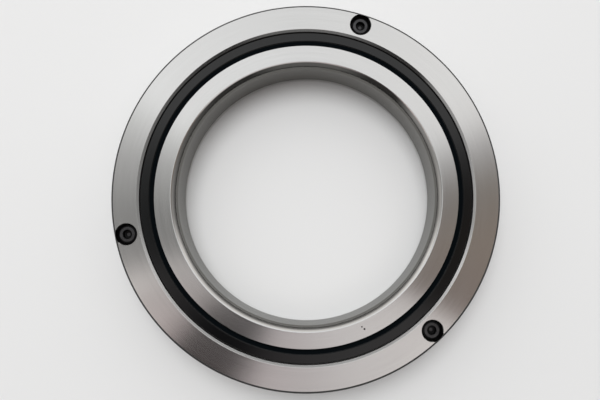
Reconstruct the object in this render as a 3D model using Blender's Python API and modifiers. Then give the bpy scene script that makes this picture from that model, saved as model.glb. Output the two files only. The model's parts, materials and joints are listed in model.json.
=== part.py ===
"""Crossed roller bearing, 80 mm bore, 120 mm outside diameter and 16 mm wide.

The bearing lies on the XY plane with its axis on +Z. Cylindrical rollers stand between two
90 degree V raceways, each roller turned a right angle from the next one, and a window cage
keeps them apart. The inner ring is one piece. The outer ring is split at mid width into two
halves, which three socket head screws clamp together. A rubber seal closes each side.
"""

import math

import bmesh
import bpy
from mathutils import Matrix, Vector

MM = 0.001

# Main sizes, in metres. The outside diameter of 120 mm is worked out from the bore outwards,
# and the width of 16 mm from the rollers towards both sides.
BORE_D = 80.0 * MM
INNER_WALL = 3.8 * MM
OUTER_WALL = 5.8 * MM

# Rollers, a little shorter than wide so that only their sides touch the raceways
ROLLER_D = 7.0 * MM
ROLLER_SHORTFALL = 0.33 * MM
ROLLER_CHAMFER = 0.4 * MM

# Rings
BORE_CHAMFER = 1.6 * MM
OUTER_CHAMFER = 0.7 * MM
ROOT_FLAT = 0.7 * MM
LAND_STEP = 1.05 * MM
LEDGE_WIDTH = 1.5 * MM
MOUTH_CHAMFER_WIDTH = 0.65 * MM
MOUTH_CHAMFER_HEIGHT = 0.7 * MM
GREASE_GROOVE_WIDTH = 3.0 * MM
GREASE_GROOVE_DEPTH = 1.0 * MM
OIL_HOLE_D = 1.6 * MM

# Seals
SEAL_SINK = 0.7 * MM
SEAL_THICKNESS = 1.1 * MM
SEAL_EDGE = 0.1 * MM
SEAL_BAND = 2.55 * MM
LIP_SINK = 0.4 * MM
LIP_DROOP = 0.3 * MM

# Cage
CAGE_THICKNESS = 1.5 * MM
CAGE_BAR = 1.2 * MM
CAGE_RIM = 1.0 * MM
WINDOW_CORNER = 1.6 * MM

# Clamp screws, M3
SCREW_COUNT = 3
SCREW_PHASE = math.radians(72.6)
SCREW_WALL = 0.8 * MM
THREAD_D = 3.0 * MM
SCREW_LENGTH = 8.0 * MM
HEAD_D = 5.5 * MM
HEAD_HEIGHT = 3.0 * MM
HEAD_CHAMFER = 0.5 * MM
HEAD_SINK = 1.2 * MM
SOCKET_WIDTH = 2.5 * MM
SOCKET_DEPTH = 1.5 * MM
TIP_CHAMFER = 0.4 * MM

# Clearances
RACE_GAP = 0.177 * MM
CAGE_CLEARANCE = 0.35 * MM
WINDOW_GAP = 0.3 * MM
SPLIT_GAP = 0.1 * MM
SEAT_GAP = 0.1 * MM
RECESS_GAP = 0.4 * MM
LIP_GAP = 0.3 * MM
SEAL_CLEARANCE = 0.35 * MM
THREAD_GAP = 0.1 * MM
SHANK_GAP = 0.2 * MM
HEAD_GAP = 0.5 * MM
CUT_OVERRUN = 1.0 * MM

# Facets round each turned shape, and the least angle between faces that meet in a crisp edge
RING_STEPS = 72
SEAL_STEPS = 72
ROLLER_STEPS = 12
SCREW_STEPS = 24
HOLE_SIDES = 24
OIL_HOLE_SIDES = 8
CRISP_ANGLE = math.radians(35.0)

# Sizes and places that follow from the values above
ROLLER_LENGTH = ROLLER_D - ROLLER_SHORTFALL
ROLLER_LEAN = math.pi / 4
ROLLER_REACH = (ROLLER_D / 2 + ROLLER_LENGTH / 2 - ROLLER_CHAMFER) / math.sqrt(2)
WINDOW_WIDTH = ROLLER_D + 2 * WINDOW_GAP
WINDOW_HEIGHT = 2 * (ROLLER_REACH + WINDOW_GAP)
CAGE_HEIGHT = WINDOW_HEIGHT + 2 * CAGE_RIM
WIDTH = CAGE_HEIGHT + 2 * (SEAL_CLEARANCE + SEAL_THICKNESS + SEAL_SINK)
MID_Z = WIDTH / 2
BORE_R = BORE_D / 2
RACE_REACH = (ROLLER_D / 2 + RACE_GAP) * math.sqrt(2)
PITCH_R = BORE_R + INNER_WALL + RACE_REACH
OUTER_R = PITCH_R + RACE_REACH + OUTER_WALL
ROOT_DEPTH = RACE_REACH - ROOT_FLAT / 2
INNER_ROOT_R = PITCH_R - ROOT_DEPTH
OUTER_ROOT_R = PITCH_R + ROOT_DEPTH
CAGE_INSIDE_R = PITCH_R - CAGE_THICKNESS / 2
CAGE_OUTSIDE_R = PITCH_R + CAGE_THICKNESS / 2
INNER_SHOULDER_R = CAGE_INSIDE_R - CAGE_CLEARANCE
OUTER_SHOULDER_R = CAGE_OUTSIDE_R + CAGE_CLEARANCE
RACE_HALF_MOUTH = INNER_SHOULDER_R - PITCH_R + RACE_REACH
SPLIT_Z = MID_Z + SPLIT_GAP / 2
LAND_R = INNER_SHOULDER_R - LAND_STEP
RECESS_R = OUTER_SHOULDER_R + LEDGE_WIDTH
SEAL_TOP = WIDTH - SEAL_SINK
SEAL_BOTTOM = SEAL_TOP - SEAL_THICKNESS
LEDGE_Z = SEAL_BOTTOM - SEAT_GAP
SHOULDER_Z = SEAL_BOTTOM - SEAL_CLEARANCE
SHANK_HOLE_D = THREAD_D + 2 * SHANK_GAP
TAPPED_HOLE_D = THREAD_D + 2 * THREAD_GAP
COUNTERBORE_D = HEAD_D + 2 * HEAD_GAP
SCREW_R = OUTER_ROOT_R + SCREW_WALL + SHANK_HOLE_D / 2
HEAD_SEAT_Z = WIDTH - HEAD_SINK - HEAD_HEIGHT
COUNTERBORE_Z = HEAD_SEAT_Z - SEAT_GAP
# The largest even number that leaves a full bar between windows, so that the leans alternate
ROLLER_COUNT = 2 * int(math.pi * CAGE_INSIDE_R / (WINDOW_WIDTH + CAGE_BAR))


def steel(name, colour, roughness):
    return material(name, colour, roughness, metallic=1.0)


def material(name, colour, roughness, metallic=0.0):
    made = bpy.data.materials.new(name)
    made.use_nodes = True
    shader = made.node_tree.nodes["Principled BSDF"]
    shader.inputs["Base Color"].default_value = (*colour, 1.0)
    shader.inputs["Roughness"].default_value = roughness
    shader.inputs["Metallic"].default_value = metallic
    made.diffuse_color = (*colour, 1.0)
    return made


def add_object(name, mesh, collection):
    obj = bpy.data.objects.new(name, mesh)
    collection.objects.link(obj)
    return obj


def turned(name, outline, steps, collection, closed=True):
    """An outline of (radius, height) points turned once round Z.

    It runs down the outer side first. An open outline starts and ends on the axis.
    """
    mesh = bpy.data.meshes.new(name)
    edges = [(i, i + 1) for i in range(len(outline) - 1)]
    if closed:
        edges.append((len(outline) - 1, 0))
    mesh.from_pydata([(radius, 0.0, z) for radius, z in outline], edges, [])
    obj = add_object(name, mesh, collection)
    screw = obj.modifiers.new("Turn", "SCREW")
    screw.steps = steps
    screw.render_steps = steps
    screw.use_merge_vertices = True
    screw.merge_threshold = 0.00001
    return obj


def cylinders(name, radius, length, sides, places, collection):
    """One cutter made of equal cylinders, each along the Z axis of its own matrix."""
    shape = bmesh.new()
    for place in places:
        bmesh.ops.create_cone(
            shape,
            cap_ends=True,
            segments=sides,
            radius1=radius,
            radius2=radius,
            depth=length,
            matrix=place,
        )
    mesh = bpy.data.meshes.new(name)
    shape.to_mesh(mesh)
    shape.free()
    return as_cutter(add_object(name, mesh, collection))


def as_cutter(obj):
    obj.hide_render = True
    obj.display_type = "WIRE"
    return obj


def cut(obj, cutter):
    boolean = obj.modifiers.new(cutter.name, "BOOLEAN")
    boolean.operation = "DIFFERENCE"
    boolean.solver = "EXACT"
    boolean.object = cutter


def fix_shape(obj, surface):
    """Keeps what the modifiers made as the object's own mesh, smooth with crisp edges."""
    graph = bpy.context.evaluated_depsgraph_get()
    mesh = bpy.data.meshes.new_from_object(obj.evaluated_get(graph))
    mesh.name = obj.name
    obj.modifiers.clear()
    obj.data = mesh
    mesh.materials.clear()
    mesh.materials.append(surface)
    mesh.shade_smooth()
    mesh.set_sharp_from_angle(angle=CRISP_ANGLE)
    return obj


def round_axis(count, phase, radius, z):
    """Matrices spaced evenly round the bearing axis, with local X pointing outwards."""
    for i in range(count):
        turn = Matrix.Rotation(phase + i * math.tau / count, 4, "Z")
        yield turn @ Matrix.Translation((radius, 0.0, z))


def flipped(outline):
    """The same outline on the other side of mid width, still outer side first."""
    return [(radius, WIDTH - z) for radius, z in reversed(outline)]


def inner_ring(collection, surface):
    upper_outside = [
        (LAND_R, WIDTH),
        (LAND_R, SHOULDER_Z),
        (INNER_SHOULDER_R, SHOULDER_Z),
        (INNER_SHOULDER_R, MID_Z + RACE_HALF_MOUTH),
        (INNER_ROOT_R, MID_Z + ROOT_FLAT / 2),
    ]
    upper_bore = [
        (BORE_R, WIDTH - BORE_CHAMFER),
        (BORE_R + BORE_CHAMFER, WIDTH),
    ]
    outline = upper_outside + flipped(upper_outside) + flipped(upper_bore) + upper_bore
    return fix_shape(turned("inner_ring", outline, RING_STEPS, collection), surface)


def outer_half_outline():
    return [
        (OUTER_R - OUTER_CHAMFER, WIDTH),
        (OUTER_R, WIDTH - OUTER_CHAMFER),
        (OUTER_R, MID_Z + GREASE_GROOVE_WIDTH / 2),
        (OUTER_R - GREASE_GROOVE_DEPTH, MID_Z + GREASE_GROOVE_WIDTH / 2),
        (OUTER_R - GREASE_GROOVE_DEPTH, SPLIT_Z),
        (OUTER_ROOT_R, SPLIT_Z),
        (OUTER_ROOT_R, MID_Z + ROOT_FLAT / 2),
        (OUTER_SHOULDER_R, MID_Z + RACE_HALF_MOUTH),
        (OUTER_SHOULDER_R, LEDGE_Z),
        (RECESS_R, LEDGE_Z),
        (RECESS_R, WIDTH - MOUTH_CHAMFER_HEIGHT),
        (RECESS_R + MOUTH_CHAMFER_WIDTH, WIDTH),
    ]


def screw_holes(name, diameter, z_low, z_high, cutters):
    length = z_high - z_low
    places = round_axis(SCREW_COUNT, SCREW_PHASE, SCREW_R, z_low + length / 2)
    return cylinders(name, diameter / 2, length, HOLE_SIDES, places, cutters)


def oil_holes(cutters):
    """Radial holes from the grease groove to the raceway, midway between the screws."""
    length = OUTER_R - OUTER_ROOT_R + 2 * CUT_OVERRUN
    radius = OUTER_ROOT_R - CUT_OVERRUN + length / 2
    phase = SCREW_PHASE + math.pi / SCREW_COUNT
    lay_down = Matrix.Rotation(math.radians(90.0), 4, "Y")
    places = [place @ lay_down for place in round_axis(SCREW_COUNT, phase, radius, MID_Z)]
    return cylinders(
        "cutter_oil_holes", OIL_HOLE_D / 2, length, OIL_HOLE_SIDES, places, cutters
    )


def outer_ring(collection, cutters, surface):
    upper = turned("outer_ring_upper", outer_half_outline(), RING_STEPS, collection)
    lower = turned("outer_ring_lower", flipped(outer_half_outline()), RING_STEPS, collection)
    above = WIDTH + CUT_OVERRUN
    cut(upper, screw_holes("cutter_counterbores", COUNTERBORE_D, COUNTERBORE_Z, above, cutters))
    cut(upper, screw_holes("cutter_shank_holes", SHANK_HOLE_D, MID_Z - CUT_OVERRUN, above, cutters))
    cut(lower, screw_holes("cutter_tapped_holes", TAPPED_HOLE_D, -CUT_OVERRUN, above, cutters))
    radial = oil_holes(cutters)
    cut(upper, radial)
    cut(lower, radial)
    return fix_shape(upper, surface), fix_shape(lower, surface)


def seal_outline():
    """A flat band seated in the outer ring, with a thin lip that droops to the inner ring."""
    edge_r = RECESS_R - RECESS_GAP
    band_r = edge_r - SEAL_BAND
    lip_r = LAND_R + LIP_GAP
    lip_top = SEAL_TOP - LIP_SINK
    return [
        (edge_r - SEAL_EDGE, SEAL_TOP),
        (edge_r, SEAL_TOP - SEAL_EDGE),
        (edge_r, SEAL_BOTTOM),
        (lip_r, SEAL_BOTTOM),
        (lip_r, lip_top - LIP_DROOP),
        (band_r, lip_top),
        (band_r, SEAL_TOP),
    ]


def seals(collection, surface):
    upper = turned("seal_upper", seal_outline(), SEAL_STEPS, collection)
    lower = turned("seal_lower", flipped(seal_outline()), SEAL_STEPS, collection)
    return fix_shape(upper, surface), fix_shape(lower, surface)


def window_cutter(cutters):
    """A radial block with bevelled corners for each roller, clear of both ways it can lean."""
    depth = CAGE_THICKNESS + 2 * CUT_OVERRUN
    size = Matrix.Diagonal((depth, WINDOW_WIDTH, WINDOW_HEIGHT, 1.0))
    shape = bmesh.new()
    for place in round_axis(ROLLER_COUNT, 0.0, PITCH_R, MID_Z):
        outwards = place.to_3x3() @ Vector((1.0, 0.0, 0.0))
        block = bmesh.ops.create_cube(shape, size=1.0, matrix=place @ size)["verts"]
        edges = {edge for vertex in block for edge in vertex.link_edges}
        across = [
            edge
            for edge in edges
            if abs((edge.verts[1].co - edge.verts[0].co).normalized().dot(outwards)) > 0.99
        ]
        bmesh.ops.bevel(shape, geom=across, offset=WINDOW_CORNER, segments=1, affect="EDGES")
    bmesh.ops.recalc_face_normals(shape, faces=shape.faces)
    mesh = bpy.data.meshes.new("cutter_windows")
    shape.to_mesh(mesh)
    shape.free()
    return as_cutter(add_object("cutter_windows", mesh, cutters))


def roller_cage(collection, cutters, surface):
    top = MID_Z + CAGE_HEIGHT / 2
    bottom = MID_Z - CAGE_HEIGHT / 2
    outline = [
        (CAGE_OUTSIDE_R, top),
        (CAGE_OUTSIDE_R, bottom),
        (CAGE_INSIDE_R, bottom),
        (CAGE_INSIDE_R, top),
    ]
    cage = turned("roller_cage", outline, 2 * ROLLER_COUNT, collection)
    cut(cage, window_cutter(cutters))
    return fix_shape(cage, surface)


def rollers(collection, surface):
    """Rollers on the pitch circle, leaning outwards and inwards by turns."""
    radius = ROLLER_D / 2
    half = ROLLER_LENGTH / 2
    upper = [(0.0, half), (radius - ROLLER_CHAMFER, half), (radius, half - ROLLER_CHAMFER)]
    lower = [(r, -z) for r, z in reversed(upper)]
    first = turned("roller_01", upper + lower, ROLLER_STEPS, collection, closed=False)
    fix_shape(first, surface)
    made = [first]
    for i in range(1, ROLLER_COUNT):
        made.append(add_object(f"roller_{i + 1:02d}", first.data, collection))
    for i, place in enumerate(round_axis(ROLLER_COUNT, 0.0, PITCH_R, MID_Z)):
        lean = ROLLER_LEAN if i % 2 == 0 else -ROLLER_LEAN
        made[i].matrix_world = place @ Matrix.Rotation(lean, 4, "Y")
    return made


def clamp_screws(collection, cutters, surface):
    """Socket head screws, sunk in the upper half and threaded into the lower half."""
    head_r = HEAD_D / 2
    thread_r = THREAD_D / 2
    outline = [
        (0.0, HEAD_HEIGHT),
        (head_r - HEAD_CHAMFER, HEAD_HEIGHT),
        (head_r, HEAD_HEIGHT - HEAD_CHAMFER),
        (head_r, 0.0),
        (thread_r, 0.0),
        (thread_r, TIP_CHAMFER - SCREW_LENGTH),
        (thread_r - TIP_CHAMFER, -SCREW_LENGTH),
        (0.0, -SCREW_LENGTH),
    ]
    first = turned("clamp_screw_1", outline, SCREW_STEPS, collection, closed=False)
    corner_r = SOCKET_WIDTH / math.sqrt(3)
    depth = SOCKET_DEPTH + CUT_OVERRUN
    place = Matrix.Translation((0.0, 0.0, HEAD_HEIGHT - SOCKET_DEPTH + depth / 2))
    cut(first, cylinders("cutter_socket", corner_r, depth, 6, [place], cutters))
    fix_shape(first, surface)
    made = [first]
    for i in range(1, SCREW_COUNT):
        made.append(add_object(f"clamp_screw_{i + 1}", first.data, collection))
    for screw, seat in zip(made, round_axis(SCREW_COUNT, SCREW_PHASE, SCREW_R, HEAD_SEAT_Z)):
        screw.matrix_world = seat
    return made


def main():
    for obj in list(bpy.data.objects):
        bpy.data.objects.remove(obj, do_unlink=True)
    bearing = bpy.data.collections.new("crossed_roller_bearing")
    cutters = bpy.data.collections.new("cutters")
    for collection in (bearing, cutters):
        bpy.context.scene.collection.children.link(collection)

    ground_steel = steel("ground_bearing_steel", (0.66, 0.66, 0.65), 0.28)
    roller_steel = steel("polished_roller_steel", (0.72, 0.72, 0.72), 0.15)
    black_steel = steel("black_oxide_steel", (0.05, 0.05, 0.055), 0.45)
    rubber = material("black_nitrile_rubber", (0.02, 0.02, 0.022), 0.55)
    resin = material("cage_resin", (0.75, 0.70, 0.58), 0.5)

    inner_ring(bearing, ground_steel)
    outer_ring(bearing, cutters, ground_steel)
    seals(bearing, rubber)
    roller_cage(bearing, cutters, resin)
    rollers(bearing, roller_steel)
    clamp_screws(bearing, cutters, black_steel)


main()
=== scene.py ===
"""Looks of a crossed roller bearing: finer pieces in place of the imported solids, with their
materials, a pale floor, soft studio light and the photograph's camera."""

import json
import math

import bmesh
import bpy
from mathutils import Matrix, Vector


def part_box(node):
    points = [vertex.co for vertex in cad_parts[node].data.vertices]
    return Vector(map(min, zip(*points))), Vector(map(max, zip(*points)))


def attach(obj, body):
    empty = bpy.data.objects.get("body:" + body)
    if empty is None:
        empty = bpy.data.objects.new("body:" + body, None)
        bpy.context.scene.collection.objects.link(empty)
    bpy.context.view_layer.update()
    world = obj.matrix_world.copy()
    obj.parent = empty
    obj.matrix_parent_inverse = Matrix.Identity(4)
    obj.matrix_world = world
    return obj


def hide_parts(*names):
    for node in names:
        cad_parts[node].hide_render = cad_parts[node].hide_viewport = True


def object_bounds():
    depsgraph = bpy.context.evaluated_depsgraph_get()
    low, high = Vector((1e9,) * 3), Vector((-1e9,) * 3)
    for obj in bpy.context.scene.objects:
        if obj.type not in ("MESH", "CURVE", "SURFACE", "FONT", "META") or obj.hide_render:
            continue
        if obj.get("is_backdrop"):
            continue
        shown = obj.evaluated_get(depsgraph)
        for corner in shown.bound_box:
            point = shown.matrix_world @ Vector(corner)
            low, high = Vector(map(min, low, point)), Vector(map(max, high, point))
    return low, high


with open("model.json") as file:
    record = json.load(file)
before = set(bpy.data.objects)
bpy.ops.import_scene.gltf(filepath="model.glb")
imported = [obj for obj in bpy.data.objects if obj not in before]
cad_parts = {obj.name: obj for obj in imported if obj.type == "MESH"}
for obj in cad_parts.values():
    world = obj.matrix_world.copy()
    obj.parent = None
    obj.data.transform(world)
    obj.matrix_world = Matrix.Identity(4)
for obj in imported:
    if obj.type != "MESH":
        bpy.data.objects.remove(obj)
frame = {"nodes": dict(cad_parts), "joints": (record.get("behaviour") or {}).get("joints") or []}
cad_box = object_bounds()

MM = 0.001

# Points closer than this are one point
TOUCH = 0.001 * MM

# Facets round each turned piece
RING_STEPS = 360
ROLLER_STEPS = 60
HOLE_STEPS = 72
DOT_STEPS = 24

# Rounded corners: facets on each, the most of a side that one takes, and radii
CORNER_ARC = 5
CORNER_SHARE = 0.45
RING_CORNER = 0.1 * MM
SEAL_CORNER = 0.1 * MM
ROLLER_CORNER = 0.15 * MM
CAGE_CORNER = 0.15 * MM

# The bore's chamfers have wider corners at the foot and at the outer edge, each given as (least
# distance from the axis, greatest distance, radius). Only corners over the half angle take these.
BLUNT = math.radians(50.0)
EASED_FOOT = (39.9 * MM, 40.1 * MM, 3.0 * MM)
EASED_EDGE = (41.0 * MM, 41.7 * MM, 1.0 * MM)

# Between these corners they bulge by this much. A slope that is narrower than the least, or
# further out than the reach, stays flat.
CROWN = 0.008 * MM
CROWN_PARTS = 6
CROWN_LEAST = 0.2 * MM
CROWN_REACH = 41.7 * MM

# Edges over this angle stay sharp in smooth shading
SHARP_EDGE = math.radians(40.0)

# Holes in the outer ring
COUNTERBORE_D = 6.5 * MM
SHANK_HOLE_D = 3.4 * MM
OIL_HOLE_D = 1.6 * MM
HOLE_CHAMFER = 0.15 * MM
SEAT_GAP = 0.1 * MM
CUT_OVERRUN = 0.5 * MM

# Clamp screws, M3
HEAD_D = 5.5 * MM
HEAD_HEIGHT = 3.0 * MM
HEAD_CHAMFER = 0.5 * MM
HEAD_CORNER = 0.15 * MM
NECK_CORNER = 0.15 * MM
NECK_LENGTH = 0.1 * MM
TIP_CHAMFER = 0.4 * MM

# The knurl round the heads starts at a depth below the top. Its shape is the share of its depth in
# each column of a ridge.
KNURL_RIDGES = 48
KNURL_SHAPE = (0.0, 0.5, 1.0, 0.5)
KNURL_DEPTH = 0.07 * MM
KNURL_TOP = 0.7 * MM
KNURL_FADE = 0.15 * MM

# Threads. Half the crest and each flank are shares of the pitch, and rows are per turn.
THREAD_D = 3.0 * MM
THREAD_PITCH = 0.5 * MM
THREAD_DEPTH = 0.3 * MM
THREAD_GAP = 0.1 * MM
THREAD_FADE = 0.1 * MM
THREAD_ROWS = 10
THREAD_COLUMNS = 96
HALF_CREST = 1 / 16
FLANK = 5 / 16

# Sockets. Each has a corner at its own angle.
SOCKET_WIDTH = 2.5 * MM
SOCKET_DEPTH = 1.5 * MM
SOCKET_MOUTH_R = 1.5 * MM
DRILL_R = 1.05 * MM
DRILL_POINT = 0.3 * MM
SOCKET_TURNS = (math.radians(95.0), math.radians(90.0), math.radians(0.0))

# Two punched dots on the inner ring's face, each as (distance from the axis, angle, diameter).
# Their darkened floors lie between two distances from the axis and two depths.
DOTS = (
    (43.5 * MM, math.radians(292.5), 0.45 * MM),
    (44.4 * MM, math.radians(293.1), 0.6 * MM),
)
DOT_RING = (43.0 * MM, 45.0 * MM)
DOT_FLOOR = (0.03 * MM, 0.5 * MM)

# Rollers and cage windows
ROLLER_COUNT = 34
WINDOW_WIDTH = 7.6 * MM
WINDOW_HEIGHT = 9.7 * MM
WINDOW_CORNER = 2.4 * MM
WINDOW_EASE = 0.15 * MM

# Where the finish of the steel, its painted shade and the finish of the rubber change: distances
# from the axis, and heights above or below the middle plane
MID_Z = 8.0 * MM
FACE_RISE = 6.1 * MM
BORE_WALL = (0.0, 41.0 * MM)
BORE_CHAMFER = (40.0 * MM, 43.0 * MM)
RIM_CHAMFER = (59.05 * MM, 60.05 * MM)
SEAL_SEAT = (49.5 * MM, 51.65 * MM)
SEAL_SEAT_RISE = (6.0 * MM, 7.35 * MM)
SEAL_BAND = (48.55 * MM, 60.05 * MM)
HOLE_MARGIN = 0.03 * MM
SOCKET_TOP = 0.1 * MM

# How much a surface faces up or down, 1 being level, where a finish with its painted shade starts
# and where it is full
SLOPE_FACING = (0.98, 0.85)
WALL_FACING = (0.66, 0.46)

# Lines that grinding leaves, as (lines per metre, drift round the axis), and the shares of them
# that a wall has and by which the roughness strays
FINE_LINES = (7000.0, 5.0)
BROAD_LINES = (1400.0, 1.5)
WALL_LINES = 0.7
ROUGHNESS_STRAY = 0.15

# Darker parts of the screws and of the seals: painted shade in the screws' sockets, and the seals'
# bands
SOCKET_PAINTED_SHADE = 0.15
SEAL_BAND_SHADE = 0.4

# Studio. Each change of the sky is given as (outer, inner) degrees off the zenith. The low sky
# dims between two heights of the view direction, down to a share at the lower one.
HIGH_SKY_CHANGE = (45.0, 33.0)
TOP_SKY_CHANGE = (18.0, 14.0)
HORIZON_CHANGE = (90.0, 88.5)
DIM_HEIGHTS = (0.125, 0.25)
DIM_SHARE = 0.08
BACKDROP = (0.80, 0.81, 0.80)
FLOOR_COLOUR = (0.71, 0.718, 0.721)
FLOOR_HALF_WIDTH = 2.0
FLOOR_Z = -0.05 * MM
KEY_PLACE = (-0.1, 0.33, 1.13)
KEY_WIDTH = 0.8
KEY_WATTS = 8.0

# The fitted camera: pixels of the 600 x 400 photograph, metres and radians
IMAGE_WIDTH = 600
IMAGE_HEIGHT = 400
SENSOR_WIDTH = 36.0
FOCAL_PIXELS = 567.6
CENTRE_PIXEL = (317.9, 194.0)
CAMERA_PLACE = (0.0, -14.2 * MM, 190.0 * MM)
CAMERA_TILT = (0.0819, -0.0192, 0.0)


# Reading the frame

def least_radius(node):
    return min(math.hypot(v.co.x, v.co.y) for v in frame["nodes"][node].data.vertices)


def end_radius(node):
    """The least radius on the node's upper face. Below it, cutting can leave nearer points."""
    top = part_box(node)[1].z
    places = [v.co for v in frame["nodes"][node].data.vertices]
    return min(math.hypot(co.x, co.y) for co in places if abs(co.z - top) < TOUCH)


def joint(name):
    return next(j for j in frame["joints"] if j["name"] == name)


def section(node):
    """The CAD node's outline in the half plane through +X, as (radius, height) points.

    They run down the outer side first, so that the turned faces point outwards.
    """
    mesh = frame["nodes"][node].data
    places = {
        v.index: (round(v.co.x, 6), round(v.co.z, 6))
        for v in mesh.vertices
        if abs(v.co.y) < TOUCH and v.co.x > 0.0
    }
    links = {}
    for edge in mesh.edges:
        a, b = (places.get(i) for i in edge.vertices)
        if a and b and a != b:
            links.setdefault(a, set()).add(b)
            links.setdefault(b, set()).add(a)
    outline = [max(links)]
    step = min(links[outline[0]])
    while step != outline[0]:
        outline.append(step)
        step = (links[step] - {outline[-2]}).pop()
    area = sum(a[0] * b[1] - b[0] * a[1] for a, b in zip(outline, outline[1:] + outline[:1]))
    return outline if area < 0 else outline[::-1]


def screw_places():
    """The axis of each clamp screw with its lowest and highest point, from its CAD node."""
    for i in range(1, 4):
        low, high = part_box(f"clamp_screw_{i}")
        yield (low + high) / 2, low.z, high.z


# Making shapes

def rounded(outline, corner, eased=(), closed=True):
    """The outline with each corner turned into an arc, wider at the blunt corners of a chamfer.

    An open outline keeps its two ends.
    """
    points = [Vector(p) for p in outline]
    made = []
    for i, here in enumerate(points):
        if not closed and i in (0, len(points) - 1):
            made.append(tuple(here))
            continue
        before = points[i - 1] - here
        after = points[(i + 1) % len(points)] - here
        half = before.angle(after) / 2
        radius = corner
        if half > BLUNT:
            radius = max([corner] + [wide for low, high, wide in eased if low < here.x < high])
        room = CORNER_SHARE * min(before.length, after.length)
        radius = min(radius, room * math.tan(half))
        middle = here + (before.normalized() + after.normalized()).normalized() * (
            radius / math.sin(half)
        )
        start = here + before.normalized() * (radius / math.tan(half)) - middle
        end = here + after.normalized() * (radius / math.tan(half)) - middle
        sweep = math.atan2(start.cross(end), start.dot(end))
        for k in range(CORNER_ARC + 1):
            turn = Matrix.Rotation(sweep * k / CORNER_ARC, 2)
            made.append(tuple(middle + turn @ start))
    return made


def crowned(outline):
    """The outline with a slight bulge on the slopes near the bore, which are its chamfers."""
    points = [Vector(p) for p in outline]
    made = []
    for here, after in zip(points, points[1:] + points[:1]):
        made.append(tuple(here))
        along = after - here
        narrow = min(abs(along.x), abs(along.y)) < CROWN_LEAST
        if narrow or max(here.x, after.x) > CROWN_REACH:
            continue
        out = Vector((-along.y, along.x)).normalized()
        for k in range(1, CROWN_PARTS):
            share = k / CROWN_PARTS
            made.append(tuple(here + along * share + out * 4 * CROWN * share * (1 - share)))
    return made


def turned(name, outline, steps, closed=True):
    mesh = bpy.data.meshes.new(name)
    edges = [(i, i + 1) for i in range(len(outline) - 1)]
    if closed:
        edges.append((len(outline) - 1, 0))
    mesh.from_pydata([(radius, 0.0, z) for radius, z in outline], edges, [])
    obj = bpy.data.objects.new(name, mesh)
    bpy.context.scene.collection.objects.link(obj)
    screw = obj.modifiers.new("Turn", "SCREW")
    screw.steps = screw.render_steps = steps
    screw.use_merge_vertices = True
    screw.merge_threshold = TOUCH
    return baked(obj)


def baked(obj):
    """Keeps what the modifiers made as the object's own mesh."""
    graph = bpy.context.evaluated_depsgraph_get()
    mesh = bpy.data.meshes.new_from_object(obj.evaluated_get(graph))
    mesh.name = obj.name
    obj.modifiers.clear()
    obj.data = mesh
    return obj


def cut(obj, cutters):
    for cutter in cutters:
        boolean = obj.modifiers.new(cutter.name, "BOOLEAN")
        boolean.operation = "DIFFERENCE"
        boolean.solver = "EXACT"
        boolean.object = cutter
    baked(obj)
    for cutter in cutters:
        bpy.data.objects.remove(cutter)
    return obj


def crisp(obj):
    """Smooth shading in which the wide faces stay flat."""
    obj.data.shade_smooth()
    obj.data.set_sharp_from_angle(angle=SHARP_EDGE)
    weigh = obj.modifiers.new("Weigh", "WEIGHTED_NORMAL")
    weigh.keep_sharp = True
    weigh.weight = 100
    return baked(obj)


def dress(obj, node, body, slot):
    """The piece stands for its CAD node, moves with its body and takes its slot's material."""
    obj.data.materials.clear()
    obj.data.materials.append(MATERIALS[slot])
    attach(obj, body)
    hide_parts(node)
    return obj


# Materials

def add(tree, kind, inputs=None, **settings):
    """A shader node with its settings and with values or links on its inputs."""
    node = tree.nodes.new("ShaderNode" + kind)
    for name, value in settings.items():
        setattr(node, name, value)
    for socket, value in (inputs or {}).items():
        if isinstance(value, bpy.types.NodeSocket):
            tree.links.new(value, node.inputs[socket])
        else:
            node.inputs[socket].default_value = value
    return node


def calc(tree, operation, a, b=0.0):
    return add(tree, "Math", {0: a, 1: b}, operation=operation).outputs[0]


def spread(tree, value, low, high):
    """The 0 to 1 value stretched over low to high."""
    return add(tree, "MapRange", {"Value": value, "To Min": low, "To Max": high}).outputs[0]


def noise(tree, vector, scale, detail=2.0):
    inputs = {"Vector": vector, "Scale": scale, "Detail": detail}
    return add(tree, "TexNoise", inputs).outputs["Fac"]


def blend(tree, factor, a, b):
    node = add(tree, "Mix", {0: factor, 6: (*a, 1.0), 7: (*b, 1.0)}, data_type="RGBA")
    return node.outputs[2]


def surface(name, **values):
    made = bpy.data.materials.new(name)
    made.use_nodes = True
    tree = made.node_tree
    shader = tree.nodes["Principled BSDF"]
    for socket, value in values.items():
        shader.inputs[socket.replace("_", " ")].default_value = value
    return made, tree, shader


def bumped(tree, shader, height, strength, distance):
    inputs = {"Height": height, "Strength": strength, "Distance": distance}
    tree.links.new(add(tree, "Bump", inputs).outputs[0], shader.inputs["Normal"])


def polar(tree):
    """The place flattened on the ground, its distance from the local Z axis, and its height."""
    place = add(tree, "TexCoord").outputs["Object"]
    flat = add(tree, "VectorMath", {0: place, 1: (1.0, 1.0, 0.0)}, operation="MULTIPLY").outputs[0]
    radius = add(tree, "VectorMath", {0: flat}, operation="LENGTH").outputs["Value"]
    height = add(tree, "SeparateXYZ", {0: place}).outputs["Z"]
    return flat, radius, height


def within(tree, value, low, high):
    """1 where the value is between the limits, and 0 elsewhere."""
    over = calc(tree, "GREATER_THAN", value, low)
    return calc(tree, "MULTIPLY", over, calc(tree, "LESS_THAN", value, high))


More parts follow.
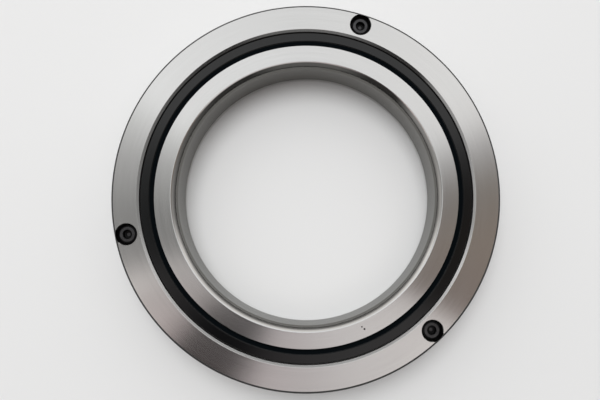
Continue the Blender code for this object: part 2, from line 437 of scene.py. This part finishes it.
def lay(tree, lines_per_metre, drift):
    """Noise drawn out into fine rings round the local Z axis, as turning and grinding leave."""
    flat, radius, height = polar(tree)
    inputs = {0: height, 1: WALL_LINES, 2: radius}
    across = add(tree, "Math", inputs, operation="MULTIPLY_ADD").outputs[0]
    outwards = add(tree, "VectorMath", {0: flat}, operation="NORMALIZE").outputs[0]
    slow = add(tree, "VectorMath", {0: outwards, "Scale": drift}, operation="SCALE").outputs[0]
    line = add(tree, "CombineXYZ", {"Z": calc(tree, "MULTIPLY", across, lines_per_metre)})
    lines = add(tree, "VectorMath", {0: slow, 1: line.outputs[0]}, operation="ADD").outputs[0]
    return noise(tree, lines, 1.0)


def ground_steel(name, dark, light, roughness, anisotropy, finishes_and_shade=()):
    """Steel ground in rings, with changes of finish and painted shade in places, such as those of
    the rings.
    """
    made, tree, shader = surface(
        name, Metallic=1.0, Anisotropic=anisotropy, Anisotropic_Rotation=0.25
    )
    fine = lay(tree, *FINE_LINES)
    both = calc(tree, "MULTIPLY", calc(tree, "ADD", fine, lay(tree, *BROAD_LINES)), 0.5)
    colour = blend(tree, both, dark, light)
    stray = roughness * ROUGHNESS_STRAY
    rough = spread(tree, both, roughness - stray, roughness + stray)
    for mask, tint, coarse in finishes_and_shade:
        there = mask(tree)
        inputs = {0: colour, 1: blend(tree, there, (1.0, 1.0, 1.0), tint)}
        colour = add(tree, "VectorMath", inputs, operation="MULTIPLY").outputs[0]
        rough = add(tree, "Mix", {0: there, 2: rough, 3: coarse}, data_type="FLOAT").outputs[0]
    tree.links.new(colour, shader.inputs["Base Color"])
    tree.links.new(rough, shader.inputs["Roughness"])
    tangent = add(tree, "Tangent", direction_type="RADIAL", axis="Z")
    tree.links.new(tangent.outputs[0], shader.inputs["Tangent"])
    bumped(tree, shader, fine, 0.4, 0.004 * MM)
    return made


def facing(tree):
    """How far the surface faces up or down, from 0 for a wall to 1 for a level face."""
    normal = add(tree, "TexCoord").outputs["Normal"]
    return calc(tree, "ABSOLUTE", add(tree, "SeparateXYZ", {0: normal}).outputs["Z"])


def slopes(tree, low, high):
    """Where the surface slopes, next to either face of a ring, between two radii."""
    _, radius, height = polar(tree)
    rise = calc(tree, "ABSOLUTE", calc(tree, "SUBTRACT", height, MID_Z))
    edge = calc(tree, "GREATER_THAN", rise, FACE_RISE)
    start, full = SLOPE_FACING
    inputs = {"Value": facing(tree), "From Min": start, "From Max": full}
    slope = add(tree, "MapRange", inputs, interpolation_type="SMOOTHSTEP").outputs[0]
    near = calc(tree, "MULTIPLY", edge, within(tree, radius, low, high))
    return calc(tree, "MULTIPLY", slope, near)


def steep(tree):
    """1 on a wall, falling to 0 on a slope of 45 degrees."""
    start, full = WALL_FACING
    inputs = {"Value": facing(tree), "From Min": start, "From Max": full}
    return add(tree, "MapRange", inputs).outputs[0]


# The bore's chamfer, darkened as painted shade. Towards its foot the wall's darker painted shade
# takes over.
def bore_chamfer(tree):
    slope = slopes(tree, *BORE_CHAMFER)
    return calc(tree, "MULTIPLY", slope, calc(tree, "SUBTRACT", 1.0, steep(tree)))


# The outer rim's chamfer, darkened nearly to black as painted shade for the dark line along the
# rim.
def rim_chamfer(tree):
    return slopes(tree, *RIM_CHAMFER)


# The bore's wall, darkened as painted shade. Its rougher finish is the roughness.
def bore_wall(tree):
    _, radius, _ = polar(tree)
    return calc(tree, "MULTIPLY", steep(tree), within(tree, radius, *BORE_WALL))


def seal_seats(tree):
    """The turned step under each seal, darkened as painted shade so that it shows as a dark gap
    round it.
    """
    _, radius, height = polar(tree)
    wall = within(tree, radius, *SEAL_SEAT)
    rise = calc(tree, "ABSOLUTE", calc(tree, "SUBTRACT", height, MID_Z))
    return calc(tree, "MULTIPLY", wall, within(tree, rise, *SEAL_SEAT_RISE))


# The counterbores, darkened nearly to black as painted shade in the recesses.
def screw_holes(tree):
    flat, _, _ = polar(tree)
    nearest = None
    for middle, _, _ in screw_places():
        inputs = {0: flat, 1: (middle.x, middle.y, 0.0)}
        away = add(tree, "VectorMath", inputs, operation="DISTANCE").outputs["Value"]
        nearest = calc(tree, "MINIMUM", nearest, away) if nearest else away
    return within(tree, nearest, 0.0, COUNTERBORE_D / 2 + HOLE_MARGIN)


def dot_floors(tree):
    """The floors of the two punched dots, which are darkened."""
    _, radius, height = polar(tree)
    under = calc(tree, "SUBTRACT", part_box("inner_ring")[1].z, height)
    return calc(tree, "MULTIPLY", within(tree, under, *DOT_FLOOR), within(tree, radius, *DOT_RING))


def black_oxide():
    made, tree, shader = surface("black_oxide", Metallic=0.85, Specular_IOR_Level=0.2)
    place = add(tree, "TexCoord").outputs["Object"]
    mottle = noise(tree, place, 2500.0, 4.0)
    patches = noise(tree, place, 500.0)
    _, radius, height = polar(tree)
    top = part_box("clamp_screw_1")[1].z
    # The socket's walls are darkened as painted shade. The middle of the drill point is left out
    # and catches light.
    sunk = within(tree, height, top - HEAD_HEIGHT, top - SOCKET_TOP)
    socket = calc(tree, "MULTIPLY", sunk, within(tree, radius, DRILL_R / 2, SOCKET_MOUTH_R))
    colour = blend(tree, patches, (0.035, 0.035, 0.037), (0.10, 0.10, 0.103))
    inputs = {0: colour, "Scale": spread(tree, socket, 1.0, SOCKET_PAINTED_SHADE)}
    colour = add(tree, "VectorMath", inputs, operation="SCALE").outputs[0]
    tree.links.new(colour, shader.inputs["Base Color"])
    tree.links.new(spread(tree, mottle, 0.25, 0.4), shader.inputs["Roughness"])
    bumped(tree, shader, mottle, 0.3, 0.01 * MM)
    return made


def seal_rubber():
    made, tree, shader = surface("seal_rubber", Specular_IOR_Level=0.0, Coat_Roughness=0.12)
    place = add(tree, "TexCoord").outputs["Object"]
    grain = noise(tree, place, 4000.0, 3.0)
    bloom = noise(tree, place, 120.0)
    colour = blend(tree, bloom, (0.0022, 0.0033, 0.0042), (0.0032, 0.0044, 0.0053))
    _, radius, _ = polar(tree)
    band = within(tree, radius, *SEAL_BAND)
    inputs = {0: colour, "Scale": spread(tree, band, 1.0, SEAL_BAND_SHADE)}
    colour = add(tree, "VectorMath", inputs, operation="SCALE").outputs[0]
    tree.links.new(colour, shader.inputs["Base Color"])
    tree.links.new(spread(tree, grain, 0.3, 0.45), shader.inputs["Roughness"])
    tree.links.new(band, shader.inputs["Coat Weight"])
    bumped(tree, shader, grain, 0.2, 0.008 * MM)
    return made


def cage_resin():
    made, tree, shader = surface("cage_resin", Specular_IOR_Level=0.4)
    place = add(tree, "TexCoord").outputs["Object"]
    flow = noise(tree, place, 150.0, 3.0)
    grain = noise(tree, place, 3000.0, 3.0)
    colour = blend(tree, flow, (0.70, 0.64, 0.51), (0.79, 0.74, 0.62))
    tree.links.new(colour, shader.inputs["Base Color"])
    tree.links.new(spread(tree, grain, 0.42, 0.58), shader.inputs["Roughness"])
    bumped(tree, shader, grain, 0.2, 0.01 * MM)
    return made


# Each finish of the rings is (function that gives its mask, tint, roughness). The tints of the
# bore's chamfer and wall, the rim's chamfer, the seal seats and the counterbores are painted
# shade; the dots' floors are darkened.
RING_FINISHES_AND_SHADE = (
    (bore_chamfer, (0.68, 0.665, 0.645), 0.1),
    (rim_chamfer, (0.08, 0.08, 0.08), 0.3),
    (bore_wall, (0.235, 0.229, 0.212), 0.2),
    (seal_seats, (0.25, 0.25, 0.25), 0.4),
    (screw_holes, (0.06, 0.06, 0.06), 0.45),
    (dot_floors, (0.05, 0.05, 0.05), 0.5),
)
MATERIALS = {
    "ring_steel": ground_steel(
        "ring_steel", (0.60, 0.60, 0.595), (0.70, 0.70, 0.695), 0.14, 0.9, RING_FINISHES_AND_SHADE
    ),
    "roller_steel": ground_steel(
        "roller_steel", (0.66, 0.66, 0.66), (0.75, 0.75, 0.75), 0.16, 0.4
    ),
    "screw_black": black_oxide(),
    "seal_rubber": seal_rubber(),
    "cage_resin": cage_resin(),
}


# Pieces

def hole_cutter(name, middle, outline):
    """A turned cutter at a screw's axis. The outline is open and given from the bottom up."""
    cutter = turned(name, outline[::-1], HOLE_STEPS, closed=False)
    cutter.location = (middle.x, middle.y, 0.0)
    return cutter


def counterbored_holes(top):
    wide = COUNTERBORE_D / 2
    narrow = SHANK_HOLE_D / 2
    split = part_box("outer_ring_upper")[0].z
    for middle, _, high in screw_places():
        bed = high - HEAD_HEIGHT - SEAT_GAP
        yield hole_cutter("counterbore", middle, [
            (0.0, split - CUT_OVERRUN),
            (narrow + HOLE_CHAMFER + CUT_OVERRUN, split - CUT_OVERRUN),
            (narrow, split + HOLE_CHAMFER),
            (narrow, bed),
            (wide, bed),
            (wide, top - HOLE_CHAMFER),
            (wide + HOLE_CHAMFER + CUT_OVERRUN, top + CUT_OVERRUN),
            (0.0, top + CUT_OVERRUN),
        ])


def oil_holes():
    """Radial cutters midway between the screws, on the plane where the outer ring is split."""
    split = (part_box("outer_ring_lower")[1].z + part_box("outer_ring_upper")[0].z) / 2
    start = least_radius("outer_ring_upper") + CUT_OVERRUN
    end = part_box("outer_ring_upper")[1].x + CUT_OVERRUN
    radius = OIL_HOLE_D / 2
    for middle, _, _ in screw_places():
        outline = [(0.0, start), (radius, start), (radius, end), (0.0, end)]
        hole = turned("oil_hole", outline[::-1], HOLE_STEPS, closed=False)
        angle = math.atan2(middle.y, middle.x) + math.pi / 3
        hole.location = (0.0, 0.0, split)
        hole.rotation_euler = (0.0, math.pi / 2, angle)
        yield hole


def lathe(name, top, rings, bottom):
    """A closed body of rings of (radius, height) points, from the top pole down to the bottom."""
    shape = bmesh.new()
    columns = len(rings[0])
    turns = [math.tau * k / columns for k in range(columns)]
    rows = [
        [
            shape.verts.new((radius * math.cos(a), radius * math.sin(a), z))
            for a, (radius, z) in zip(turns, row)
        ]
        for row in rings
    ]
    poles = shape.verts.new((0.0, 0.0, top)), shape.verts.new((0.0, 0.0, bottom))
    for k in range(columns):
        after = (k + 1) % columns
        shape.faces.new((poles[0], rows[0][k], rows[0][after]))
        shape.faces.new((poles[1], rows[-1][after], rows[-1][k]))
        for upper, lower in zip(rows, rows[1:]):
            shape.faces.new((upper[k], lower[k], lower[after], upper[after]))
    mesh = bpy.data.meshes.new(name)
    shape.to_mesh(mesh)
    shape.free()
    obj = bpy.data.objects.new(name, mesh)
    bpy.context.scene.collection.objects.link(obj)
    return obj


def thread_cut(z, angle):
    """How deep the thread is at a height and an angle, from 0 on a crest to 1 at a root."""
    turn = (z / THREAD_PITCH - angle / math.tau) % 1.0
    return min(max((min(turn, 1.0 - turn) - HALF_CREST) / FLANK, 0.0), 1.0)


def thread_rings(high, low, columns, radius, fade_high=0.0, fade_low=0.0):
    """Rings of a threaded cylinder. A fade is the length over which the thread runs out."""
    rows = round((high - low) / THREAD_PITCH * THREAD_ROWS)
    turns = [math.tau * k / columns for k in range(columns)]
    rings = []
    for row in range(rows + 1):
        z = high + (low - high) * row / rows
        share = 1.0
        if fade_high:
            share = min(share, (high - z) / fade_high)
        if fade_low:
            share = min(share, (z - low) / fade_low)
        depth = THREAD_DEPTH * share
        rings.append([(radius - depth * thread_cut(z, a), z) for a in turns])
    return rings


def tapped_holes(top):
    """Cutters with the turns of the screws' threads, and a gap's width wider."""
    radius = THREAD_D / 2 + THREAD_GAP
    flare = radius + HOLE_CHAMFER + CUT_OVERRUN
    upper = [(flare, top + CUT_OVERRUN)] * THREAD_COLUMNS
    threaded = thread_rings(
        top - HOLE_CHAMFER, HOLE_CHAMFER, THREAD_COLUMNS, radius, THREAD_FADE, THREAD_FADE
    )
    lower = [(flare, -CUT_OVERRUN)] * THREAD_COLUMNS
    for middle, _, _ in screw_places():
        rings = [upper, *threaded, lower]
        hole = lathe("tapped_hole", top + CUT_OVERRUN, rings, -CUT_OVERRUN)
        hole.location = (middle.x, middle.y, 0.0)
        yield hole


def hexagon(turn, columns):
    """The radius of the socket's six sides in each column."""
    for k in range(columns):
        angle = (math.tau * k / columns - turn) % (math.pi / 3) - math.pi / 6
        yield SOCKET_WIDTH / 2 / math.cos(angle)


def clamp_screw(number, middle, low, high, turn):
    columns = len(KNURL_SHAPE) * KNURL_RIDGES
    seat = high - HEAD_HEIGHT
    head = HEAD_D / 2
    shank = THREAD_D / 2
    bed = high - SOCKET_DEPTH
    sides = list(hexagon(turn, columns))
    knurl = [head - KNURL_DEPTH * share for share in KNURL_SHAPE] * KNURL_RIDGES
    arc = [math.pi / 2 * k / CORNER_ARC for k in range(CORNER_ARC + 1)]

    def level(radius, z):
        return [(radius, z)] * columns

    rings = [level(DRILL_R, bed), [(side, bed) for side in sides]]
    rings.append([(side, high - (SOCKET_MOUTH_R - side)) for side in sides])
    top = [
        (SOCKET_MOUTH_R, high),
        (head - HEAD_CHAMFER, high),
        (head, high - HEAD_CHAMFER),
        (head, high - KNURL_TOP),
    ]
    rings += [level(*point) for point in rounded(top, HEAD_CORNER, closed=False)]
    rings.append([(radius, high - KNURL_TOP - KNURL_FADE) for radius in knurl])
    rings.append([(radius, seat + 2 * KNURL_FADE) for radius in knurl])
    rings.append(level(head - KNURL_DEPTH, seat + KNURL_FADE))
    rings.append(level(head - KNURL_DEPTH - KNURL_FADE, seat))
    rings += [
        level(shank + NECK_CORNER * (1 - math.sin(a)), seat - NECK_CORNER * (1 - math.cos(a)))
        for a in arc
    ]
    threaded_from = seat - NECK_CORNER - NECK_LENGTH
    for row in thread_rings(threaded_from, low, columns, shank, THREAD_PITCH):
        most = shank - TIP_CHAMFER + (row[0][1] - low)
        rings.append([(min(radius, most), z) for radius, z in row])
    obj = lathe(f"clamp_screw_{number}_threaded", bed - DRILL_POINT, rings, low)
    obj.location = (middle.x, middle.y, 0.0)
    return dress(crisp(obj), f"clamp_screw_{number}", "outer_ring", "screw_black")


def ring(node, body, eased, cutters):
    outline = crowned(rounded(section(node), RING_CORNER, eased))
    obj = turned(node + "_ground", outline, RING_STEPS)
    cut(obj, cutters)
    return dress(crisp(obj), node, body, "ring_steel")


def punched_dots(top):
    """Cutters, each a ball with its middle on the face."""
    arc = [math.tau * k / DOT_STEPS for k in range(DOT_STEPS // 2 + 1)]
    for place, angle, width in DOTS:
        outline = [(width / 2 * math.sin(a), width / 2 * math.cos(a)) for a in arc]
        outline[0] = (0.0, width / 2)
        outline[-1] = (0.0, -width / 2)
        dot = turned("punched_dot", outline, DOT_STEPS, closed=False)
        dot.location = (place * math.cos(angle), place * math.sin(angle), top)
        yield dot


def seal(node):
    obj = turned(node + "_moulded", rounded(section(node), SEAL_CORNER), RING_STEPS)
    return dress(crisp(obj), node, "outer_ring", "seal_rubber")


def roller_mesh():
    """One roller, lying along Z, from the CAD node of the first."""
    spin = joint("roller_01_spin")
    middle = Vector(spin["pos_m"])
    axis = Vector(spin["axis"]).normalized()
    offsets = [v.co - middle for v in frame["nodes"]["roller_01"].data.vertices]
    points = {(round(o.cross(axis).length, 6), round(o.dot(axis), 6)) for o in offsets}
    radius = max(point[0] for point in points)
    half = max(point[1] for point in points)
    flat = max(point[0] for point in points if point[1] > half - TOUCH)
    side = max(point[1] for point in points if point[0] > radius - TOUCH)
    upper = [(0.0, half), (flat, half), (radius, side)]
    lower = [(radius, -side), (flat, -half), (0.0, -half)]
    outline = rounded(upper + lower, ROLLER_CORNER, closed=False)
    made = crisp(turned("roller", outline, ROLLER_STEPS, closed=False))
    mesh = made.data
    bpy.data.objects.remove(made)
    return mesh


def rollers():
    mesh = roller_mesh()
    for number in range(1, ROLLER_COUNT + 1):
        node = f"roller_{number:02}"
        spin = joint(node + "_spin")
        obj = bpy.data.objects.new(node + "_ground", mesh)
        bpy.context.scene.collection.objects.link(obj)
        obj.location = spin["pos_m"]
        obj.rotation_euler = Vector(spin["axis"]).to_track_quat("Z", "Y").to_euler()
        dress(obj, node, node, "roller_steel")


def window_outline(ease):
    """The window as (sideways, height) points, with its corners rounded, and wider by the ease."""
    across = WINDOW_WIDTH / 2 + ease
    up = WINDOW_HEIGHT / 2 + ease
    corners = [(across, up), (-across, up), (-across, -up), (across, -up)]
    return rounded(corners, WINDOW_CORNER + ease)


def window_cutter(inner, outer, height):
    """All the windows in one cutter, each flared where it leaves the cage."""
    shape = bmesh.new()
    sections = [
        (inner - CUT_OVERRUN, WINDOW_EASE + CUT_OVERRUN),
        (inner + WINDOW_EASE, 0.0),
        (outer - WINDOW_EASE, 0.0),
        (outer + CUT_OVERRUN, WINDOW_EASE + CUT_OVERRUN),
    ]
    for number in range(1, ROLLER_COUNT + 1):
        place = Vector(joint(f"roller_{number:02}_spin")["pos_m"])
        out = Vector((place.x, place.y, 0.0)).normalized()
        side = Vector((-out.y, out.x, 0.0))
        rows = [
            [
                shape.verts.new(out * radius + side * across + Vector((0.0, 0.0, height + up)))
                for across, up in window_outline(ease)
            ]
            for radius, ease in sections
        ]
        shape.faces.new(rows[0][::-1])
        shape.faces.new(rows[-1])
        for lower, upper in zip(rows, rows[1:]):
            for k in range(len(lower)):
                after = (k + 1) % len(lower)
                shape.faces.new((lower[k], lower[after], upper[after], upper[k]))
    bmesh.ops.recalc_face_normals(shape, faces=shape.faces)
    mesh = bpy.data.meshes.new("windows")
    shape.to_mesh(mesh)
    shape.free()
    obj = bpy.data.objects.new("windows", mesh)
    bpy.context.scene.collection.objects.link(obj)
    return obj


def cage(node):
    low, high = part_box(node)
    inner = end_radius(node)
    outer = high.x
    outline = [(outer, high.z), (outer, low.z), (inner, low.z), (inner, high.z)]
    obj = turned(node + "_moulded", rounded(outline, CAGE_CORNER), RING_STEPS)
    cut(obj, [window_cutter(inner, outer, (low.z + high.z) / 2)])
    return dress(crisp(obj), node, "cage", "cage_resin")


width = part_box("inner_ring")[1].z
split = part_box("outer_ring_lower")[1].z
ring("inner_ring", "inner_ring", [EASED_FOOT, EASED_EDGE], [*punched_dots(width)])
ring("outer_ring_upper", "outer_ring", [], [*counterbored_holes(width), *oil_holes()])
ring("outer_ring_lower", "outer_ring", [], [*tapped_holes(split), *oil_holes()])
seal("seal_upper")
seal("seal_lower")
cage("roller_cage")
rollers()
for number, (place, turn) in enumerate(zip(screw_places(), SOCKET_TURNS), 1):
    clamp_screw(number, *place, turn)


# Studio

def sky_ramp(tree, turn, stops):
    """Brightness round the horizon. Each stop is (degrees from +X, colour)."""
    ramp = add(tree, "ValToRGB", {"Fac": turn})
    places = ramp.color_ramp.elements
    while len(places) < len(stops):
        places.new(0.5)
    for place, (degrees, colour) in zip(places, sorted(stops)):
        place.position = degrees / 360.0
        place.color = (*colour, 1.0)
    return ramp.outputs["Color"]


HIGH_SKY = (
    (0.0, (0.303, 0.245, 0.202)),
    (17.0, (0.278, 0.244, 0.214)),
    (26.0, (0.44, 0.422, 0.414)),
    (36.0, (1.0, 0.98, 0.97)),
    (44.0, (1.07, 1.059, 1.049)),
    (92.0, (0.97, 0.97, 0.97)),
    (138.0, (1.13, 1.13, 1.13)),
    (146.0, (0.8, 0.8, 0.792)),
    (155.0, (0.56, 0.554, 0.549)),
    (172.0, (0.34, 0.337, 0.33)),
    (187.0, (0.4, 0.388, 0.376)),
    (196.0, (1.05, 0.977, 0.945)),
    (202.0, (0.7, 0.616, 0.595)),
    (210.0, (0.93, 0.8, 0.775)),
    (216.0, (0.64, 0.525, 0.515)),
    (222.0, (0.05, 0.037, 0.036)),
    (239.0, (0.08, 0.059, 0.058)),
    (253.0, (0.74, 0.651, 0.644)),
    (270.0, (0.6, 0.552, 0.546)),
    (316.0, (0.98, 0.931, 0.911)),
    (327.0, (1.03, 0.958, 0.927)),
    (334.0, (0.283, 0.223, 0.198)),
    (359.9, (0.303, 0.245, 0.202)),
)
TOP_SKY = (
    (0.0, (0.242, 0.199, 0.168)),
    (20.0, (0.16, 0.147, 0.144)),
    (38.0, (0.8, 0.8, 0.8)),
    (60.0, (1.0, 1.0, 1.0)),
    (100.0, (1.12, 1.131, 1.142)),
    (138.0, (0.92, 0.92, 0.911)),
    (147.0, (0.5, 0.5, 0.49)),
    (160.0, (0.32, 0.317, 0.307)),
    (171.0, (0.2, 0.198, 0.192)),
    (184.0, (0.24, 0.233, 0.228)),
    (194.0, (0.6, 0.57, 0.558)),
    (213.0, (0.26, 0.234, 0.229)),
    (220.0, (0.06, 0.051, 0.05)),
    (241.0, (0.07, 0.062, 0.063)),
    (252.0, (0.58, 0.522, 0.522)),
    (290.0, (0.78, 0.741, 0.733)),
    (328.0, (0.81, 0.761, 0.745)),
    (335.0, (0.218, 0.181, 0.166)),
    (359.9, (0.242, 0.199, 0.168)),
)
LOW_SKY = (
    (0.0, (0.38, 0.375, 0.37)),
    (15.0, (0.50, 0.495, 0.49)),
    (30.0, (1.30, 1.285, 1.27)),
    (55.0, (1.15, 1.14, 1.13)),
    (90.0, (1.28, 1.27, 1.26)),
    (120.0, (1.22, 1.21, 1.20)),
    (150.0, (1.50, 1.485, 1.47)),
    (166.0, (0.72, 0.71, 0.70)),
    (180.0, (0.70, 0.69, 0.68)),
    (195.0, (0.50, 0.495, 0.49)),
    (212.0, (0.46, 0.455, 0.45)),
    (224.0, (0.05, 0.049, 0.048)),
    (240.0, (0.05, 0.049, 0.048)),
    (256.0, (0.22, 0.218, 0.215)),
    (284.0, (0.18, 0.178, 0.175)),
    (298.0, (0.05, 0.049, 0.048)),
    (316.0, (0.065, 0.064, 0.063)),
    (345.0, (0.24, 0.235, 0.23)),
    (359.9, (0.38, 0.375, 0.37)),
)


def above(tree, rise, outer, inner):
    """From 0 beyond the outer angle off the zenith to 1 within the inner one, in degrees."""
    inputs = {
        "Value": rise,
        "From Min": math.cos(math.radians(outer)),
        "From Max": math.cos(math.radians(inner)),
    }
    return add(tree, "MapRange", inputs, interpolation_type="SMOOTHSTEP").outputs[0]


def studio_sky():
    """The skies as light and in mirrors, and a plain backdrop behind the floor."""
    world = bpy.data.worlds.new("studio")
    bpy.context.scene.world = world
    world.use_nodes = True
    tree = world.node_tree
    tree.nodes.clear()
    direction = add(tree, "TexCoord").outputs["Generated"]
    parts = add(tree, "SeparateXYZ", {0: direction}).outputs
    angle = calc(tree, "ARCTAN2", parts["Y"], parts["X"])
    turn = calc(tree, "FRACT", calc(tree, "DIVIDE", angle, math.tau))
    high = sky_ramp(tree, turn, HIGH_SKY)
    top = sky_ramp(tree, turn, TOP_SKY)
    least, most = DIM_HEIGHTS
    inputs = {"Value": parts["Z"], "From Min": least, "From Max": most, "To Min": DIM_SHARE}
    dim = add(tree, "MapRange", inputs).outputs[0]
    inputs = {0: sky_ramp(tree, turn, LOW_SKY), "Scale": dim}
    low = add(tree, "VectorMath", inputs, operation="SCALE").outputs[0]
    inputs = {0: above(tree, parts["Z"], *HIGH_SKY_CHANGE), 6: low, 7: high}
    sky = add(tree, "Mix", inputs, data_type="RGBA").outputs[2]
    inputs = {0: above(tree, parts["Z"], *TOP_SKY_CHANGE), 6: sky, 7: top}
    sky = add(tree, "Mix", inputs, data_type="RGBA").outputs[2]
    light = add(tree, "Background", {"Color": sky, "Strength": 1.0})
    backdrop = add(tree, "Background", {"Color": (*BACKDROP, 1.0), "Strength": 1.0})
    ray = add(tree, "LightPath").outputs
    mirrored = calc(tree, "MAXIMUM", ray["Is Glossy Ray"], ray["Is Transmission Ray"])
    horizon = calc(tree, "SUBTRACT", 1.0, above(tree, parts["Z"], *HORIZON_CHANGE))
    seen = calc(tree, "MAXIMUM", ray["Is Camera Ray"], calc(tree, "MULTIPLY", mirrored, horizon))
    mix = add(tree, "MixShader", {0: seen, 1: light.outputs[0], 2: backdrop.outputs[0]})
    add(tree, "OutputWorld", {"Surface": mix.outputs[0]})


def studio_floor():
    mesh = bpy.data.meshes.new("floor")
    shape = bmesh.new()
    bmesh.ops.create_grid(shape, x_segments=1, y_segments=1, size=FLOOR_HALF_WIDTH)
    shape.to_mesh(mesh)
    shape.free()
    obj = bpy.data.objects.new("floor", mesh)
    obj.location.z = FLOOR_Z
    bpy.context.scene.collection.objects.link(obj)
    made, _, shader = surface("floor", Roughness=0.6, Specular_IOR_Level=0.3)
    shader.inputs["Base Color"].default_value = (*FLOOR_COLOUR, 1.0)
    mesh.materials.append(made)
    obj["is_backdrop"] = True


def key_light():
    """A softbox high above, towards the top of the picture and a little to the left."""
    data = bpy.data.lights.new("key", "AREA")
    data.shape = "DISK"
    data.size = KEY_WIDTH
    data.energy = KEY_WATTS
    obj = bpy.data.objects.new("key", data)
    bpy.context.scene.collection.objects.link(obj)
    obj.location = KEY_PLACE
    obj.rotation_euler = obj.location.to_track_quat("Z", "Y").to_euler()
    obj.visible_glossy = False


def camera():
    data = bpy.data.cameras.new("camera")
    data.sensor_width = SENSOR_WIDTH
    data.lens = SENSOR_WIDTH * FOCAL_PIXELS / IMAGE_WIDTH
    data.shift_x = (IMAGE_WIDTH / 2 - CENTRE_PIXEL[0]) / IMAGE_WIDTH
    data.shift_y = (CENTRE_PIXEL[1] - IMAGE_HEIGHT / 2) / IMAGE_WIDTH
    data.clip_start = 1.0 * MM
    obj = bpy.data.objects.new("camera", data)
    obj.location = CAMERA_PLACE
    obj.rotation_euler = CAMERA_TILT
    bpy.context.scene.collection.objects.link(obj)
    bpy.context.scene.camera = obj


studio_sky()
studio_floor()
key_light()
camera()
bpy.context.scene.view_settings.view_transform = "Standard"

[[list(corner) for corner in box] for box in (cad_box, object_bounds())]
